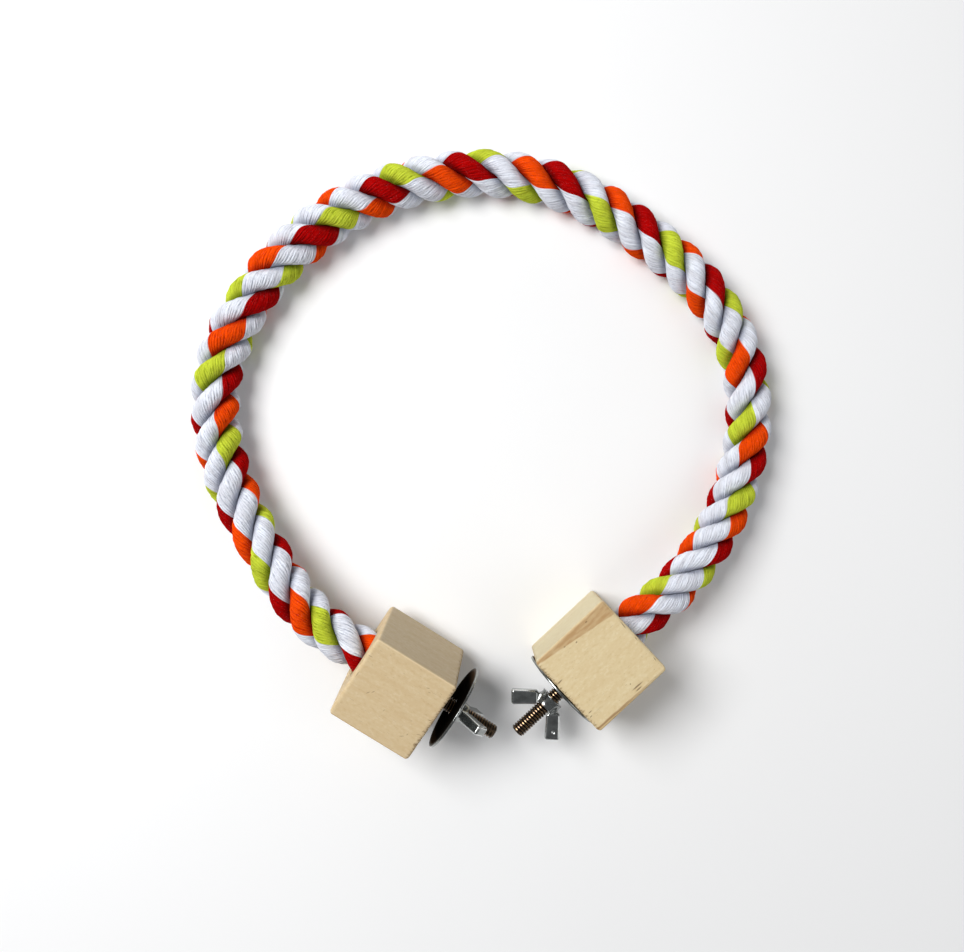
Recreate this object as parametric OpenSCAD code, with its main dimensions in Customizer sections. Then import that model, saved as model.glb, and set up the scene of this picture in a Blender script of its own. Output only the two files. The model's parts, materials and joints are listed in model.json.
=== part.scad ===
// Rope ring for a bird cage. An open ring of three-strand cotton rope has a pine block on each
// end. A hanger bolt out of each block carries a fender washer and a wing nut, and the cage's
// bars are clamped between block and washer. The ring lies flat on XY, seen from above, with
// its two blocks at the -Y side. A block's own axis runs from its rope to its bolt.

/* [Rope] */
// Diameter of the rope over its strands
rope_d = 21; // [18:0.5:24]
// Straight run of rope in front of each block
rope_lead = 8; // [4:1:12]
// Thickness of the tape wrapped round each rope end
tape_t = 0.5; // [0.3:0.1:1]
// Depth of the tape's edge below the block's face
tape_recess = 1; // [0.5:0.1:3]

/* [Blocks] */
// Side of the square pine stock
block_w = 39.3; // [36:0.1:44]
// Length that is sawn off it for a block
block_len = 38.4; // [36:0.1:44]
// Radius of the four long edges, which run along the grain
block_edge_r = 1; // [1:0.5:5]
// Bevel of the edges round the two sawn ends
block_end_bevel = 0.8; // [0.4:0.1:2]
// Depth of the drilled socket for the rope
socket_depth = 13; // [8:0.5:16]
// Wood left between the socket and the point of the bolt
point_cover = 0.7; // [0.5:0.1:4]

/* [Left block] */
// Place of the block's centre across the ring
left_x = -34.8; // [-45:0.1:-30]
// Place of the block's centre along the ring
left_y = -101.3; // [-110:0.1:-95]
// Heading of the axis from rope to bolt
left_yaw = -32.5; // [-45:0.5:-20]
// Dip of the bolt's end
left_dip = 4; // [0:0.5:8]
// Roll of the block about its axis
left_roll = 13; // [0:0.5:20]
// Distance of the drilled axis from the block's middle
left_drill_off = 2.4; // [0:0.1:4]

/* [Right block] */
// Place of the block's centre across the ring
right_x = 49.6; // [45:0.1:60]
// Place of the block's centre along the ring
right_y = -92.4; // [-100:0.1:-85]
// Heading of the axis from rope to bolt
right_yaw = -137; // [-150:0.5:-125]

/* [Hanger bolts] */
// Outside diameter of the machine thread
bolt_d = 6.35; // [5:0.05:8]
// Length of bolt that stands out of the block
bolt_out = 27.5; // [24:0.5:32]
// Bevel at the bolt's end
bolt_bevel = 0.8; // [0.4:0.1:1.5]
// Length of the pointed wood-screw tip
bolt_point = 7; // [4:0.5:10]

/* [Washers] */
// Outside diameter of the fender washer
washer_d = 38; // [25:1:40]
// Play of the washer's hole over the bolt's diameter
washer_play = 0.75; // [0.4:0.05:2]
// Thickness of the washer
washer_t = 1.2; // [1:0.1:2.5]
// Bevel of the washer's rim
washer_bevel = 0.25; // [0.1:0.05:0.4]

/* [Wing nuts] */
// Distance from the left block's face to its nut's base
left_nut_stand = 7.7; // [6:0.1:10]
// Distance from the right block's face to its nut's base
right_nut_stand = 6.2; // [5:0.1:10]
// Wall of the boss round the bolt
nut_wall = 1.2; // [0.8:0.1:2]
// Reach of the flared base past the boss
nut_flare = 1.4; // [0.8:0.1:2.5]
// Height of the straight rim at the base
nut_rim_h = 0.7; // [0.4:0.1:1.5]
// Height of the boss
nut_boss_h = 5; // [4:0.5:8]
// Width over the tips of the wings
wing_spread = 30; // [26:0.5:34]
// Height from the base to the tips of the wings
wing_height = 14.7; // [12:0.1:18]
// Angle of each wing from the bolt's axis
wing_angle = 44; // [35:1:55]
// Length of the flat pad on each wing
wing_pad_len = 10.6; // [8:0.2:12]
// Width of the pad
wing_pad_w = 6; // [4:0.2:7]
// Thickness of the pad
wing_pad_t = 4.4; // [3:0.2:5]
// Radius of the pad's corners
wing_corner_r = 1.2; // [0.5:0.1:2]
// How far the neck lies below the pad, on each side
neck_step = 0.4; // [0.2:0.1:0.8]
// Turn of the left nut about its bolt, from wings upright
left_nut_turn = 0; // [0:5:180]
// Turn of the right nut about its bolt, from wings upright
right_nut_turn = 90; // [0:5:180]

/* [Fits] */
// Radial clearance of what is glued, driven or wrapped tight
snug = 0.05; // [0.02:0.01:0.1]
// Radial clearance of the nut on its bolt
thread_gap = 0.06; // [0.03:0.01:0.1]
// Gap between a loose washer and what it lies against
seat_gap = 0.25; // [0.1:0.05:0.3]

/* [Hidden] */
$fn = 64;

// Sides of the rope's tube, which lies on one of them, and rings in each span of its route
rope_sides = 12;
rings_per_span = 2;
rope_r = rope_d / 2;
rope_rest_z = rope_r * cos(180 / rope_sides);

// Middle of the ring, from the left block over the top to the right block: x, y, and how far
// the rope is lifted off the floor there
ring_points = [
    [-69, -77, 14.5], [-82, -63, 12.5], [-92.5, -47.5, 9], [-102.5, -31.5, 5],
    [-111, -13.5, 2], [-116, 6, 0.5], [-116.5, 27, 0.1], [-111, 46.5, 0], [-101, 64.5, 0],
    [-88.5, 80.5, 0], [-73.5, 94, 0], [-57, 105, 0], [-38.5, 113, 0], [-19.5, 117.5, 0],
    [0, 119.5, 0], [19.5, 117.5, 0], [38.5, 112, 0], [56, 103, 0], [72, 92, 0],
    [87.5, 79.5, 0], [101, 64.5, 0], [111.5, 47, 0], [117, 27, 0], [117.5, 6.5, 0.2],
    [113.5, -13.5, 1], [106, -32.5, 3], [95.5, -49, 5.5], [83, -63.5, 8]
];

// How far a cut runs on past the face that it opens
cut_past = 1;

// Distances along a block's axis from its centre
half_w = block_w / 2;
half_len = block_len / 2;
socket_floor = socket_depth - half_len;
bolt_tip = half_len + bolt_out;
bolt_start = socket_floor + point_cover;
left_nut_base = half_len + left_nut_stand;
right_nut_base = half_len + right_nut_stand;
left_washer_back = left_nut_base - seat_gap - washer_t;
right_washer_back = half_len + seat_gap;

bolt_r = bolt_d / 2;
boss_r = bolt_r + nut_wall;
tape_in_r = rope_r + snug;
tape_out_r = tape_in_r + tape_t;
socket_r = tape_out_r + snug;

// Height of a block's centre when it rests on its lowest corner
function rest_height(dip, roll) =
    (half_len - block_end_bevel) * abs(sin(dip))
    + (half_w - block_edge_r) * cos(dip) * (abs(sin(roll)) + abs(cos(roll)))
    + block_edge_r * cos(dip);

// A centre here is the drilled axis's, half way along its block
left_side = [-sin(left_yaw), cos(left_yaw), 0];
left_centre = [left_x, left_y, rest_height(left_dip, left_roll)] + left_drill_off * left_side;
right_centre = [right_x, right_y, rest_height(0, 0)];

function heading(yaw, dip) = [cos(dip) * cos(yaw), cos(dip) * sin(yaw), -sin(dip)];
left_axis = heading(left_yaw, left_dip);
right_axis = heading(right_yaw, 0);

// The rope's route: straight out of each socket, and round the ring between them
rope_end = socket_floor - snug;
function end_points(centre, axis) = [
    centre + rope_end * axis,
    centre - half_len * axis,
    centre - (half_len + rope_lead) * axis
];
left_end = end_points(left_centre, left_axis);
right_end = end_points(right_centre, right_axis);
route = concat(
    left_end,
    [for (p = ring_points) [p[0], p[1], p[2] + rope_rest_z]],
    [right_end[2], right_end[1], right_end[0]]
);
last = len(route) - 1;

function unit(v) = v / norm(v);
function route_heading(i) =
    i == 0 ? -left_axis :
    i == last ? right_axis :
    unit(route[i + 1] - route[i - 1]);

// Point at share t of span i, on a smooth curve through the route's points
function span_point(i, t) =
    let (a = route[i], b = route[i + 1], reach = norm(b - a))
    (2 * t ^ 3 - 3 * t ^ 2 + 1) * a
    + (t ^ 3 - 2 * t ^ 2 + t) * reach * route_heading(i)
    + (3 * t ^ 2 - 2 * t ^ 3) * b
    + (t ^ 3 - t ^ 2) * reach * route_heading(i + 1);

ring_centres = concat(
    [for (i = [0 : last - 1], k = [0 : rings_per_span - 1]) span_point(i, k / rings_per_span)],
    [route[last]]
);
last_ring = len(ring_centres) - 1;

function ring_heading(i) =
    i == 0 ? -left_axis :
    i == last_ring ? right_axis :
    unit(ring_centres[i + 1] - ring_centres[i - 1]);

// One ring of the rope's tube, square to its heading, with a flat side underneath
function rope_ring(i) =
    let (
        along = ring_heading(i),
        side = unit(cross(along, [0, 0, 1])),
        up = cross(side, along)
    )
    [for (k = [0 : rope_sides - 1])
        let (a = (k + 0.5) * 360 / rope_sides)
        ring_centres[i] + rope_r * (cos(a) * side + sin(a) * up)];

module rope() {
    points = [for (i = [0 : last_ring]) each rope_ring(i)];
    wall = [
        for (i = [0 : last_ring - 1], k = [0 : rope_sides - 1])
            let (
                a = i * rope_sides + k,
                b = i * rope_sides + (k + 1) % rope_sides
            )
            each [[a, b, b + rope_sides], [a, b + rope_sides, a + rope_sides]]
    ];
    first_cap = [for (k = [1 : rope_sides - 2]) [0, k + 1, k]];
    end = last_ring * rope_sides;
    last_cap = [for (k = [1 : rope_sides - 2]) [end, end + k, end + k + 1]];
    color("tomato")
        polyhedron(points, concat(wall, first_cap, last_cap));
}

// Children stand with +Z along a block's axis, from the block's centre towards the bolt
module on_axis(centre, yaw, dip) {
    translate(centre)
        rotate([0, dip, yaw])
            rotate([0, 90, 0])
                children();
}

module on_left() {
    on_axis(left_centre, left_yaw, left_dip)
        children();
}

module on_right() {
    on_axis(right_centre, right_yaw, 0)
        children();
}

// Square with round corners, as a cross and four discs
module round_square(w, h, r) {
    square([w - 2 * r, h], center = true);
    square([w, h - 2 * r], center = true);
    for (x = [-1, 1], y = [-1, 1])
        translate([x * (w / 2 - r), y * (h / 2 - r)])
            circle(r);
}

// Prism through the block that takes the bevel off two pairs of end edges
module bevelled_prism() {
    flat_w = half_w - block_end_bevel;
    flat_len = half_len - block_end_bevel;
    linear_extrude(block_w + 2 * cut_past, center = true)
        polygon([
            [-flat_w, -half_len], [flat_w, -half_len], [half_w, -flat_len], [half_w, flat_len],
            [flat_w, half_len], [-flat_w, half_len], [-half_w, flat_len], [-half_w, -flat_len]
        ]);
}

// Bolt as a turned shape, grown by a clearance for the hole that it is driven into
module bolt_form(grow) {
    r = bolt_r + grow;
    rotate_extrude()
        polygon([
            [0, bolt_start - grow], [r, bolt_start + bolt_point], [r, bolt_tip - bolt_bevel],
            [r - bolt_bevel, bolt_tip], [0, bolt_tip]
        ]);
}

// Block rolled about its axis, with the holes drilled beside its middle
module block_form(roll, drill_off) {
    color("burlywood")
        difference() {
            translate([0, -drill_off, 0])
                rotate([0, 0, roll])
                    intersection() {
                        linear_extrude(block_len, center = true)
                            round_square(block_w, block_w, block_edge_r);
                        rotate([90, 0, 0])
                            bevelled_prism();
                        rotate([90, 0, 90])
                            bevelled_prism();
                    }
            translate([0, 0, -half_len - cut_past])
                cylinder(h = socket_depth + cut_past, r = socket_r);
            bolt_form(snug);
        }
}

// Sleeve of tape round the rope's end, inside the socket
module tape_form() {
    from = tape_recess - half_len;
    color("ivory")
        translate([0, 0, from])
            difference() {
                cylinder(h = socket_floor - snug - from, r = tape_out_r);
                translate([0, 0, -cut_past])
                    cylinder(h = block_len, r = tape_in_r);
            }
}

module hanger_bolt_form() {
    color("peru")
        bolt_form(0);
}

module washer_form(back) {
    hole_r = bolt_r + washer_play / 2;
    rim_r = washer_d / 2;
    color("silver")
        translate([0, 0, back])
            rotate_extrude()
                polygon([
                    [hole_r, 0], [rim_r - washer_bevel, 0], [rim_r, washer_bevel],
                    [rim_r, washer_t - washer_bevel], [rim_r - washer_bevel, washer_t],
                    [hole_r, washer_t]
                ]);
}

// Boss of the wing nut: a flared base that curves in to a plain collar
module nut_boss() {
    base_r = boss_r + nut_flare;
    rotate_extrude()
        difference() {
            union() {
                square([base_r, nut_rim_h + nut_flare]);
                square([boss_r, nut_boss_h]);
            }
            translate([base_r, nut_rim_h + nut_flare])
                circle(nut_flare);
        }
}

// One wing: a flat pad with round corners on a slimmer neck that grows out of the boss
module wing() {
    out = [sin(wing_angle), cos(wing_angle)];
    back = [cos(wing_angle), -sin(wing_angle)];
    pad_end = [
        wing_spread / 2 - wing_pad_w / 2 * cos(wing_angle),
        wing_height - wing_pad_w / 2 * sin(wing_angle)
    ];
    pad_mid = pad_end - wing_pad_len / 2 * out;
    neck_w = wing_pad_w / 2 - neck_step;
    neck_end = pad_mid - (wing_pad_len / 2 - wing_corner_r) * out;
    rotate([90, 0, 0]) {
        linear_extrude(wing_pad_t, center = true)
            translate(pad_mid)
                rotate(90 - wing_angle)
                    round_square(wing_pad_len, wing_pad_w, wing_corner_r);
        linear_extrude(wing_pad_t - 2 * neck_step, center = true)
            polygon([
                [0, nut_rim_h], [boss_r, nut_rim_h], neck_end + neck_w * back,
                neck_end - neck_w * back, [boss_r / 2, nut_boss_h], [0, nut_boss_h]
            ]);
    }
}

module wing_nut_form(base, turn) {
    color("darkgray")
        translate([0, 0, base])
            rotate([0, 0, turn])
                difference() {
                    union() {
                        nut_boss();
                        wing();
                        mirror([1, 0, 0])
                            wing();
                    }
                    translate([0, 0, -cut_past])
                        cylinder(h = wing_height + 2 * cut_past, r = bolt_r + thread_gap);
                }
}

module left_end_tape() { on_left() tape_form(); }
module right_end_tape() { on_right() tape_form(); }
module left_block() { on_left() block_form(left_roll, left_drill_off); }
module right_block() { on_right() block_form(0, 0); }
module left_hanger_bolt() { on_left() hanger_bolt_form(); }
module right_hanger_bolt() { on_right() hanger_bolt_form(); }
module left_washer() { on_left() washer_form(left_washer_back); }
module right_washer() { on_right() washer_form(right_washer_back); }
module left_wing_nut() { on_left() wing_nut_form(left_nut_base, left_nut_turn); }
module right_wing_nut() { on_right() wing_nut_form(right_nut_base, right_nut_turn); }

rope();
left_end_tape();
right_end_tape();
left_block();
right_block();
left_hanger_bolt();
right_hanger_bolt();
left_washer();
right_washer();
left_wing_nut();
right_wing_nut();
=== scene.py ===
import json
import math

import bpy
import numpy as np
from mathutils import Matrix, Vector


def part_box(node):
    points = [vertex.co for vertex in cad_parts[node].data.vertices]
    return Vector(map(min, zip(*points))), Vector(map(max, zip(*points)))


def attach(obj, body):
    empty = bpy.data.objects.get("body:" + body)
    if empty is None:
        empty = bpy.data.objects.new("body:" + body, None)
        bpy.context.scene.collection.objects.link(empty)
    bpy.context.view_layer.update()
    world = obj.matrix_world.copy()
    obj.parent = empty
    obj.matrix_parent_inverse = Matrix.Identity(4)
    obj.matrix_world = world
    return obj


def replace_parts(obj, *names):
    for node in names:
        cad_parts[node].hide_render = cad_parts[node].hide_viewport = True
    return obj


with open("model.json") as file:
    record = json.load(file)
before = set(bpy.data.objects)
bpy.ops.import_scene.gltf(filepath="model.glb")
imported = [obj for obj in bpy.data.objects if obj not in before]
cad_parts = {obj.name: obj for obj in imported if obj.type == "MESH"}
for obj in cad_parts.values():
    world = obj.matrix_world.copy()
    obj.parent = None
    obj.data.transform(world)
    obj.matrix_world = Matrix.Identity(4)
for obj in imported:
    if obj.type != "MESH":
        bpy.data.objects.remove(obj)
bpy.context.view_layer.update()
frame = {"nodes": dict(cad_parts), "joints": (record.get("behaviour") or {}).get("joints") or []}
scene = bpy.context.scene

# Camera. The ring is seen from straight above, at about arm's length, with a lens a little wider
# than a normal one. The height follows from the ring's real size and its size in the picture.
CAMERA_AT = (0.0005, -0.014, 0.465)
FOCAL_PX = 1032
PICTURE_W_PX = 964
SENSOR_MM = 36.0

camera_data = bpy.data.cameras.new("camera")
camera_data.sensor_fit = "HORIZONTAL"
camera_data.sensor_width = SENSOR_MM
camera_data.lens = SENSOR_MM * FOCAL_PX / PICTURE_W_PX
camera_data.clip_start = 0.01
camera = bpy.data.objects.new("camera", camera_data)
camera.location = CAMERA_AT
scene.collection.objects.link(camera)
scene.camera = camera

# Rope. Three-strand cotton rope, right-hand laid, bent into an open ring with both ends glued into
# the blocks. Half of each strand's yarns are dyed and half are left white. They are twisted against
# the lay, so that on the outside every yarn runs nearly along the rope.
MM_PER_M = 1000
ROPE_R = 0.0105
ROPE_TUBE_SIDES = 12
LEAD = 0.008
SOCKET_DEPTH = 0.013
BLOCK_LEN = 0.0384
LEFT_DRILL_OFF = 0.0024
SNUG = 0.00005
ROUTE_STEPS = 40
RING_POINTS = [
    (-0.069, -0.077, 0.0145), (-0.082, -0.063, 0.0125), (-0.0925, -0.0475, 0.009),
    (-0.1025, -0.0315, 0.005), (-0.111, -0.0135, 0.002), (-0.116, 0.006, 0.0005),
    (-0.1165, 0.027, 0.0001), (-0.111, 0.0465, 0.0), (-0.101, 0.0645, 0.0),
    (-0.0885, 0.0805, 0.0), (-0.0735, 0.094, 0.0), (-0.057, 0.105, 0.0),
    (-0.0385, 0.113, 0.0), (-0.0195, 0.1175, 0.0), (0.0, 0.1195, 0.0),
    (0.0195, 0.1175, 0.0), (0.0385, 0.112, 0.0), (0.056, 0.103, 0.0),
    (0.072, 0.092, 0.0), (0.0875, 0.0795, 0.0), (0.101, 0.0645, 0.0),
    (0.1115, 0.047, 0.0), (0.117, 0.027, 0.0), (0.1175, 0.0065, 0.0002),
    (0.1135, -0.0135, 0.001), (0.106, -0.0325, 0.003), (0.0955, -0.049, 0.0055),
    (0.083, -0.0635, 0.008),
]
HALF = BLOCK_LEN / 2
joint_axis = {j["name"]: np.array(j["axis"]) for j in frame["joints"]}


def node_middle(node):
    """Middle of a CAD node's box."""
    low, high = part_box(node)
    return np.array((low + high) / 2)


def unit(v):
    return v / np.linalg.norm(v, axis=-1, keepdims=True)


left_axis, right_axis = joint_axis["left_nut_turn"], joint_axis["right_nut_turn"]
left_middle = node_middle("left_block") + LEFT_DRILL_OFF * unit(np.cross((0, 0, 1), left_axis))
right_middle = node_middle("right_block")


def rope_end(middle, axis):
    """Route points on a block's drilled axis: socket floor, block face and end of the straight lead."""
    return [middle + u * axis for u in (SOCKET_DEPTH - HALF - SNUG, -HALF, -HALF - LEAD)]


rope_rest_z = ROPE_R * math.cos(math.pi / ROPE_TUBE_SIDES)
route = np.array(
    rope_end(left_middle, left_axis)
    + [np.array((x, y, lift + rope_rest_z)) for x, y, lift in RING_POINTS]
    + rope_end(right_middle, right_axis)[::-1]
)
route_heading = np.vstack([-left_axis, unit(route[2:] - route[:-2]), right_axis])


def along_route(step):
    """Points evenly spaced on the smooth curve through the route's points, and their distances."""
    t = np.linspace(0, 1, ROUTE_STEPS, endpoint=False)[:, None]
    curve = []
    for a, b, leave, reach in zip(route, route[1:], route_heading, route_heading[1:]):
        span = np.linalg.norm(b - a)
        curve.append(
            (2 * t**3 - 3 * t**2 + 1) * a + (t**3 - 2 * t**2 + t) * span * leave
            + (3 * t**2 - 2 * t**3) * b + (t**3 - t**2) * span * reach
        )
    curve = np.vstack(curve + [route[-1:]])
    run = np.concatenate([[0], np.cumsum(np.linalg.norm(np.diff(curve, axis=0), axis=1))])
    at = np.linspace(0, run[-1], int(run[-1] / step) + 1)
    return np.stack([np.interp(at, run, curve[:, k]) for k in range(3)], axis=1), at


def wander(rng, count, rows, step):
    """Smooth random lines between -1 and 1, one for each of count, with a knot every step rows."""
    knots = rng.uniform(-1, 1, (count, int(rows / step) + 4))
    at = np.arange(rows) / step
    i = at.astype(int)
    t = at - i
    t = t * t * (3 - 2 * t)
    return knots[:, i] * (1 - t) + knots[:, i + 1] * t


def tube_faces(rows, columns, first=0, flip=False):
    """Quads of a closed tube of rows, each a ring of columns."""
    i, j = np.meshgrid(np.arange(rows - 1), np.arange(columns), indexing="ij")
    a = first + i * columns + j
    b = first + i * columns + (j + 1) % columns
    quads = np.stack([a, b, b + columns, a + columns], axis=-1).reshape(-1, 4)
    return quads[:, ::-1] if flip else quads


def end_fan(ring, centre, flip=False):
    """Triangles that close a ring of points with one at its centre."""
    faces = np.stack([ring, np.roll(ring, -1), np.full(len(ring), centre)], axis=1)
    return faces[:, ::-1] if flip else faces


def new_piece(name, points, faces, material):
    """Smooth-shaded mesh piece from points in the frame and groups of faces."""
    mesh = bpy.data.meshes.new(name)
    mesh.from_pydata(points.tolist(), [], [f for group in faces for f in group.tolist()])
    mesh.polygons.foreach_set("use_smooth", np.ones(len(mesh.polygons), bool))
    mesh.materials.append(material)
    piece = bpy.data.objects.new(name, mesh)
    scene.collection.objects.link(piece)
    return piece


def point_value(piece, name, kind, values):
    """Values stored on a piece's points for its material."""
    field = {"FLOAT": "value", "FLOAT_VECTOR": "vector", "FLOAT_COLOR": "color"}[kind]
    stored = piece.data.attributes.new(name, kind, "POINT")
    stored.data.foreach_set(field, np.asarray(values, dtype=np.float32).ravel())


def from_srgb(r, g, b):
    """Linear colour from the 0 to 255 values that a screen shows."""
    c = np.array((r, g, b)) / 255
    return tuple(np.where(c <= 0.04045, c / 12.92, ((c + 0.055) / 1.055) ** 2.4))


class Shader:
    """A material's or a group's nodes, added one at a time and joined by their sockets."""

    def __init__(self, tree):
        self.tree = tree

    def set(self, socket, value):
        if isinstance(value, bpy.types.NodeSocket):
            self.tree.links.new(value, socket)
        elif socket.type == "RGBA":
            socket.default_value = (*value[:3], 1.0)
        else:
            socket.default_value = value

    def add(self, kind, inputs=None, **settings):
        node = self.tree.nodes.new(kind)
        for key, value in settings.items():
            setattr(node, key, value)
        for key, value in (inputs or {}).items():
            self.set(node.inputs[key], value)
        return node

    def math(self, operation, value, *others):
        """One operation on a value, or carried on through several."""
        for other in others or (0.0,):
            value = self.add("ShaderNodeMath", {0: value, 1: other}, operation=operation).outputs[0]
        return value

    def times(self, *values):
        return self.math("MULTIPLY", *values)

    def band(self, value, low, high, out_low=0.0, out_high=1.0):
        """Value taken smoothly from one range to another, and held at its ends."""
        ends = {"From Min": low, "From Max": high, "To Min": out_low, "To Max": out_high}
        return self.add(
            "ShaderNodeMapRange", {"Value": value, **ends}, interpolation_type="SMOOTHSTEP"
        ).outputs["Result"]

    def noise(self, vector, scale, detail=2.0, rough=0.5):
        return self.add(
            "ShaderNodeTexNoise",
            {"Vector": vector, "Scale": scale, "Detail": detail, "Roughness": rough},
        ).outputs["Fac"]

    def grain(self, vector, scale, detail=2.0, rough=0.5):
        """Noise with a scale of its own along each axis."""
        place = self.add("ShaderNodeVectorMath", {0: vector, 1: scale}, operation="MULTIPLY")
        return self.noise(place.outputs[0], 1.0, detail, rough)

    def mix(self, share, a, b, blend="MIX"):
        node = self.add("ShaderNodeMix", data_type="RGBA", blend_type=blend)
        for index, value in ((0, share), (6, a), (7, b)):
            self.set(node.inputs[index], value)
        return node.outputs[2]

    def attribute(self, name, output="Fac"):
        return self.add("ShaderNodeAttribute", attribute_name=name).outputs[output]

    def axes(self, vector):
        return self.add("ShaderNodeSeparateXYZ", {0: vector}).outputs


def new_material(name, **settings):
    """Material with one Principled shader: the material, its nodes and that shader."""
    material = bpy.data.materials.new(name)
    material.use_nodes = True
    shader = Shader(material.node_tree)
    principled = material.node_tree.nodes["Principled BSDF"]
    for key, value in settings.items():
        shader.set(principled.inputs[key.replace("_", " ")], value)
    return material, shader, principled


def add_bump(shader, principled, height, strength, distance):
    bump = shader.add("ShaderNodeBump", {"Height": height, "Strength": strength, "Distance": distance})
    shader.set(principled.inputs["Normal"], bump.outputs["Normal"])


RING_STEP = 0.0008
LAY = 0.04116
FIRST_CREST = 0.026
FACING_DEG = 75.0
STRAND_R = 0.0049
STRAND_PITCH_R = 0.0057
STRAND_FLATTEN = 1.15
STRAND_GAP = 0.00005
CREASE_R = 0.00015
CREASE_SHADE_FROM_R, CREASE_SHADE_TO_R = 0.009, 0.007
YARNS = 28
YARN_STEPS = (-1.0, -0.55, 0.0, 0.55)
YARN_DEPTH = 0.00036
YARN_WIDTHS = (0.75, 1.25)
YARN_WANDER = 0.00017
YARN_SWAY = 0.06
SWELL_ROWS, RIPPLE_ROWS, SWAY_ROWS = 14, 4, 8
STRANDS_V_APART = 40
FLOOR_CONTACT = 0.0001
ROPE_SEED = 11
# How far the lay runs ahead of an even one, and how stout the rope is, from the left block on.
SLIP_AT_MM = (0, 40, 60, 76, 92, 118, 158, 210, 238, 268, 295, 350, 380, 430, 490, 540)
SLIP_MM = (5.3, 5.2, 4.0, 1.3, -0.5, -1.3, -0.8, -2.8, -2.2, 0.4, 0.2, -2.6, -2.2, -0.6, -0.7, 0.8)
SLIP_SMOOTH_ROWS = 31
GIRTH_AT = (0.0, 0.03, 0.06, 0.1, 0.16, 0.19, 0.22, 0.3, 0.36, 0.44, 0.49, 0.59)
GIRTH = (0.95, 0.98, 0.96, 1.0, 1.02, 0.975, 1.04, 0.96, 0.99, 0.925, 0.955, 0.91)
COMBED_TO_MM, FLUFFY_FROM_MM = 200.0, 400.0
WHITE = from_srgb(240, 244, 254)
SHADOW_TINT = (0.4, 0.4, 0.42)
WORN_TINT = (0.8, 0.78, 0.77)
# Each strand's dye, and how far its white half has turned, in degrees, after each of LAYS_READ lays.
LAYS_READ = (0, 3, 6, 9, 13)
STRANDS = [
    (from_srgb(206, 221, 64), (173, -245, -635, -952, -1475)),
    (from_srgb(250, 80, 4), (112, -203, -515, -755, -1172)),
    (from_srgb(178, 1, 1), (7, -98, -232, -306, -352)),
]

rope_line, rope_run = along_route(RING_STEP)
rows = len(rope_line)
along = np.vstack([-left_axis, unit(rope_line[2:] - rope_line[:-2]), right_axis])
inner = unit(np.cross(along, (0, 0, 1)))
upper = np.cross(inner, along)
from_face = rope_run - (SOCKET_DEPTH - SNUG)
rng = np.random.default_rng(ROPE_SEED)


def press_flat(x, y):
    """Keep a strand's section within its third of the rope, pressed flat where it meets the next one."""
    cos60, sin60 = 0.5, math.sqrt(0.75)
    for sign in (1, -1):
        past = sign * y * cos60 - x * sin60 + STRAND_GAP
        kept = -CREASE_R * np.logaddexp(0, -past / CREASE_R)
        x = x + (past - kept) * sin60
        y = y - sign * (past - kept) * cos60
    return x, y


def read_on(lays, values):
    """Values between those read at each of LAYS_READ, carried on in a line past the first and last."""
    first = (values[1] - values[0]) / (LAYS_READ[1] - LAYS_READ[0])
    last = (values[-1] - values[-2]) / (LAYS_READ[-1] - LAYS_READ[-2])
    middle = np.interp(lays, LAYS_READ, values)
    return middle + first * np.minimum(lays - LAYS_READ[0], 0) + last * np.maximum(lays - LAYS_READ[-1], 0)


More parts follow.
